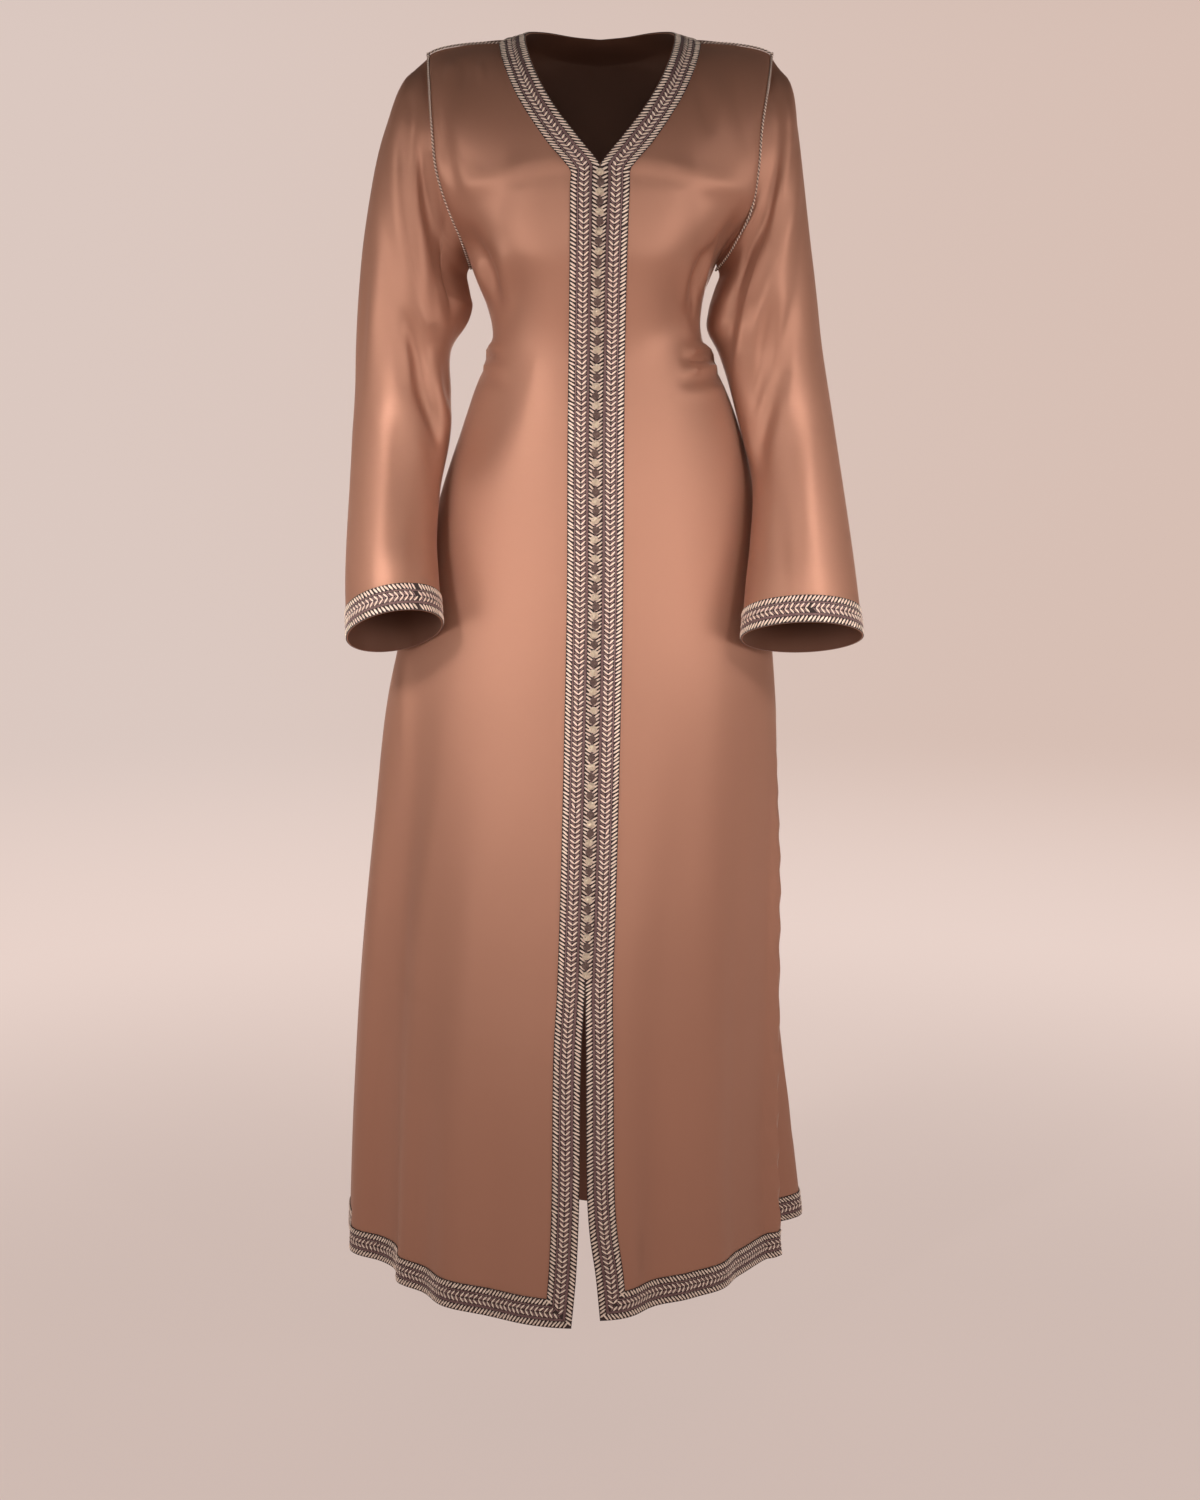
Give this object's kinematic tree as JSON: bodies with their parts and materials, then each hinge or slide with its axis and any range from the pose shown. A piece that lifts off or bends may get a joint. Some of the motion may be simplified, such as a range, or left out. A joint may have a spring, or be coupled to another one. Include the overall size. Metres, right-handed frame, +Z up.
{
  "type": "kaftan",
  "caption": "Long-sleeved, floor-length satin kaftan with a V neck, wide woven braid along its edges and a front opening closed by small knotted buttons, in the shape it takes when worn.",
  "frame": {"origin": "between the shoulders, level with the neck ends of the shoulder seams, in the middle plane", "axes": "+Z up along the hanging garment, the front opening faces -Y, +X is the wearer's left side"},
  "size_m": [0.6127, 0.4968, 1.4441],
  "materials": {
    "satin": "satin",
    "braid": "woven, with metallic thread",
    "piping": "twisted cord",
    "pale_knot": "knotted cord with metallic thread",
    "dark_knot": "knotted cord"
  },
  "bodies": {
    "root": {"front_left": "satin", "front_right": "satin", "back": "satin", "sleeve_left": "satin", "sleeve_right": "satin", "braid_front_left": "braid", "braid_front_right": "braid", "braid_neck_back": "braid", "braid_hem_back": "braid", "braid_cuff_left": "braid", "braid_cuff_right": "braid", "piping_shoulder_left": "piping", "piping_shoulder_right": "piping", "piping_armhole_left": "piping", "piping_armhole_right": "piping", "button_01": "pale_knot", "button_02": "pale_knot", "button_03": "pale_knot", "button_04": "pale_knot", "button_05": "pale_knot", "button_06": "pale_knot", "button_07": "pale_knot", "button_08": "pale_knot", "button_09": "pale_knot", "button_10": "pale_knot", "button_11": "pale_knot", "button_12": "pale_knot", "button_13": "pale_knot", "button_14": "pale_knot", "button_15": "pale_knot", "button_16": "pale_knot", "button_17": "pale_knot", "button_18": "pale_knot", "button_19": "pale_knot", "button_20": "pale_knot", "button_21": "pale_knot", "button_22": "pale_knot", "button_23": "pale_knot", "button_24": "pale_knot", "button_25": "pale_knot", "button_26": "pale_knot", "button_27": "pale_knot", "button_28": "pale_knot", "button_29": "pale_knot", "button_30": "pale_knot", "button_31": "pale_knot", "button_32": "pale_knot", "button_33": "pale_knot", "button_34": "pale_knot", "button_35": "pale_knot", "button_36": "pale_knot", "button_37": "pale_knot", "button_38": "pale_knot", "button_39": "pale_knot", "button_40": "pale_knot", "button_41": "pale_knot", "button_42": "pale_knot", "button_43": "pale_knot", "loop_cord": "dark_knot"}
  },
  "joints": []
}
